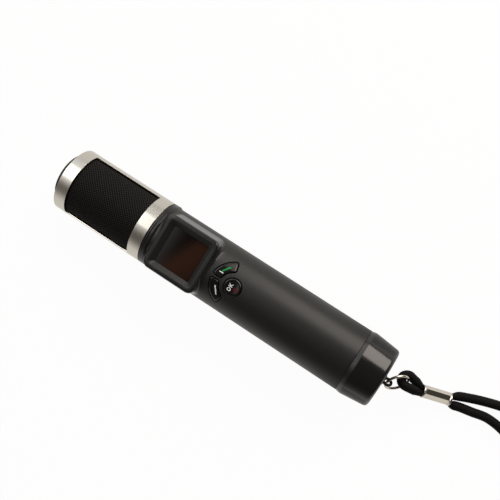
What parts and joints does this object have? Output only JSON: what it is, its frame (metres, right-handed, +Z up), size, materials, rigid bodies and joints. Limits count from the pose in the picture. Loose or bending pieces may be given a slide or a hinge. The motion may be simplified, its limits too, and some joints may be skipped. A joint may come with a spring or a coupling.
{
  "type": "handheld alcohol tester",
  "caption": "Torch-shaped handheld alcohol tester: metal cage with black mesh at the head, square display and keys on a round grip, screw-on tail cap and braided wrist cord.",
  "frame": {"origin": "middle of the object in plan, without the strap beyond the eye, on the table that the head rings rest on", "axes": "+X along the barrel towards the tail, +Z up out of the display, +Y to the display's right-hand side seen from the tail"},
  "size_m": [0.4208, 0.0602, 0.0436],
  "materials": {
    "cage_metal": "satin anodised, turned",
    "mesh_black": "fine black woven mesh",
    "shell_charcoal": "soft-touch charcoal",
    "trim_black": "moulded black",
    "key_black": "polished black with printed marks",
    "lens_brown": "dark brown tinted window",
    "panel_grey": "glass-faced display module",
    "seal_black": "matte black",
    "board_green": "green solder mask",
    "sensor_can": "nickel-plated can",
    "cell_wrap": "blue shrink wrap",
    "contact_brass": "plain",
    "screw_steel": "zinc plated",
    "strap_metal": "polished nickel",
    "cord_black": "round braided black cord"
  },
  "bodies": {
    "case": {"head_cage": "cage_metal", "intake_mesh": "mesh_black", "nose_cap": "trim_black", "head_core": "trim_black", "head_seal": "seal_black", "fan_frame": "trim_black", "sensor_cell": "sensor_can", "sensor_board": "board_green", "front_shell": "shell_charcoal", "back_shell": "shell_charcoal", "shell_screws": "screw_steel", "display_lens": "lens_brown", "display_gasket": "seal_black", "display_module": "panel_grey", "main_board": "board_green", "key_switches": "trim_black", "buzzer": "trim_black", "battery_cell": "cell_wrap", "battery_cradle": "trim_black", "front_contact": "contact_brass", "tail_sleeve": "trim_black"},
    "ok_key": {"key_ok": "key_black"},
    "left_key": {"key_left": "key_black"},
    "right_key": {"key_right": "key_black"},
    "fan": {"fan_rotor": "trim_black"},
    "strap": {"strap_eye": "trim_black", "jump_ring": "strap_metal", "cord_bight": "cord_black", "cord_ferrule": "strap_metal", "wrist_cord": "cord_black"},
    "cap": {"tail_cap": "shell_charcoal", "cap_contact": "contact_brass", "tail_seal": "seal_black"}
  },
  "joints": [
    {"name": "ok_press", "type": "slide", "parent": "case", "child": "ok_key", "axis": [0, 0, -1], "range_m": [0, 0.0008], "stiffness_N_per_m": 1200, "springref_m": -0.0005},
    {"name": "left_press", "type": "slide", "parent": "case", "child": "left_key", "axis": [0, 0, -1], "range_m": [0, 0.0008], "stiffness_N_per_m": 1200, "springref_m": -0.0005},
    {"name": "right_press", "type": "slide", "parent": "case", "child": "right_key", "axis": [0, 0, -1], "range_m": [0, 0.0008], "stiffness_N_per_m": 1200, "springref_m": -0.0005},
    {"name": "fan_spin", "type": "hinge", "parent": "case", "child": "fan", "pos_m": [-0.0935, 0, 0.0218], "axis": [1, 0, 0], "continuous": true},
    {"name": "cap_draw", "type": "slide", "parent": "case", "child": "strap", "axis": [1, 0, 0], "range_m": [0, 0.00451]},
    {"name": "cap_turn", "type": "hinge", "parent": "strap", "child": "cap", "pos_m": [0.1, 0, 0.0218], "axis": [1, 0, 0], "range_deg": [0, 1080]}
  ],
  "couplings": [
    {"joint": "cap_draw", "follows": "cap_turn", "m_per_rad": 0.00023873}
  ]
}
